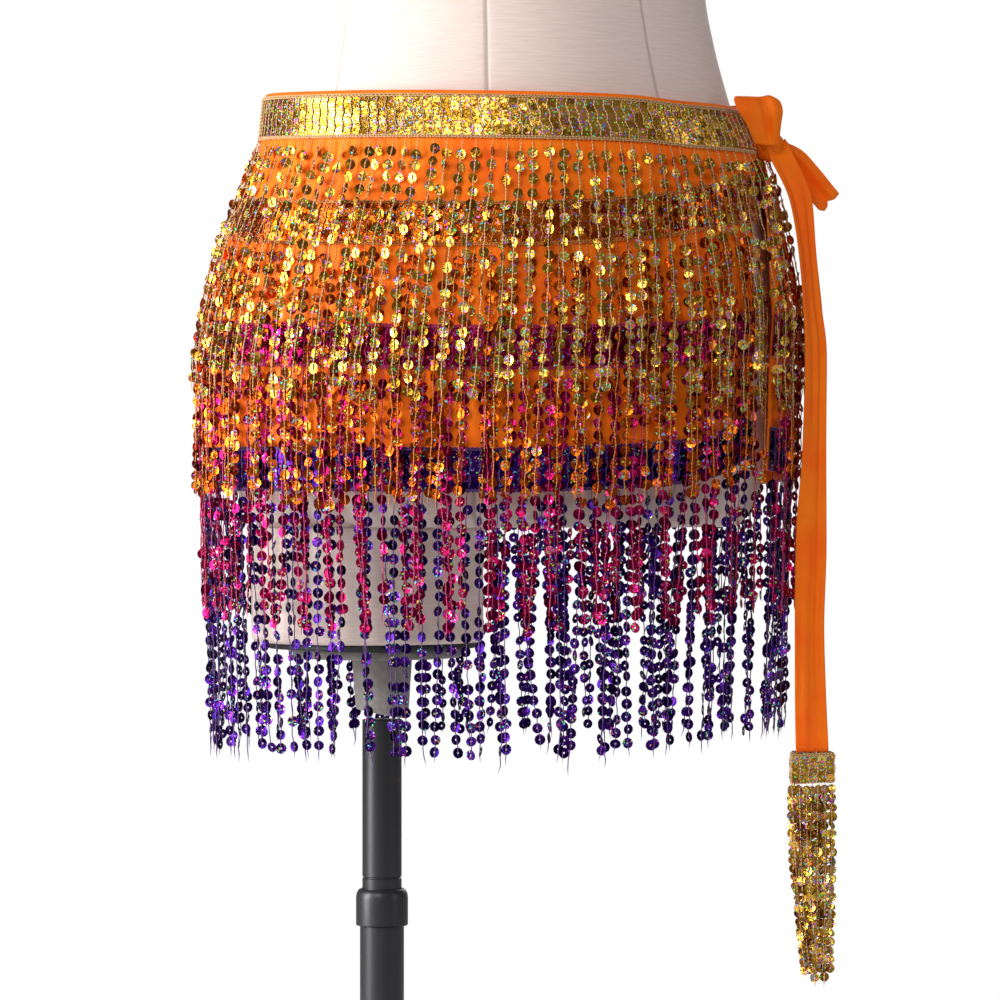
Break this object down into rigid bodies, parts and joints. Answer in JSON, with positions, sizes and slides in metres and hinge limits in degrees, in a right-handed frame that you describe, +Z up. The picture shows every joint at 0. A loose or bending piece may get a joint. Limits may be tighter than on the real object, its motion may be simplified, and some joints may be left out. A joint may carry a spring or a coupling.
{
  "type": "belly dance hip scarf on a dress form",
  "caption": "Wrapped orange hip scarf with sequin tapes and long sequin fringes in four colours, tied in a bow on one hip, worn by a limbless dress form on a pole stand.",
  "frame": {"origin": "the middle of the stand's underside, on the pole's axis", "axes": "+Z up along the pole, -Y the way the form faces, +X towards the wearer's left hip, where the scarf is tied"},
  "size_m": [0.439, 0.33, 1.108],
  "materials": {
    "orange_cloth": "smooth stretch jersey with a slight sheen",
    "gold_sequins": "holographic metallised sequins on beige and silver thread",
    "copper_sequins": "holographic metallised sequins on golden orange thread",
    "magenta_sequins": "holographic metallised sequins on hot pink thread",
    "purple_sequins": "holographic metallised sequins on purple thread",
    "linen_cover": "plain linen stretched over the form, with flat seams",
    "black_edging": "matte",
    "grey_board": "matte",
    "black_steel": "satin black paint, scuffed to rust in a few spots"
  },
  "bodies": {
    "root": {"form_torso": "linen_cover", "form_thigh": "linen_cover", "thigh_rim": "black_edging", "thigh_cap": "grey_board", "neck_cap": "grey_board", "pole_socket": "grey_board", "pole": "black_steel", "pole_collar": "black_steel", "lower_tube": "black_steel", "stand_base": "black_steel", "wrap_front": "orange_cloth", "wrap_right_hip": "orange_cloth", "wrap_back": "orange_cloth", "wrap_left_hip": "orange_cloth", "tape_gold": "gold_sequins", "tape_copper": "copper_sequins", "tape_magenta": "magenta_sequins", "tape_purple": "purple_sequins", "fringe_gold": "gold_sequins", "fringe_copper": "copper_sequins", "fringe_magenta": "magenta_sequins", "fringe_purple_front": "purple_sequins", "fringe_purple_right_hip": "purple_sequins", "fringe_purple_back": "purple_sequins", "fringe_purple_left_hip": "purple_sequins", "tie_front_end": "orange_cloth", "tie_back_end": "orange_cloth", "bow_loop_upper": "orange_cloth", "bow_loop_side": "orange_cloth", "tail_outer": "orange_cloth", "tail_inner": "orange_cloth", "knot": "orange_cloth", "tail_tape_outer": "gold_sequins", "tassel_outer": "gold_sequins", "tail_tape_inner": "gold_sequins", "tassel_inner": "gold_sequins"}
  },
  "joints": []
}
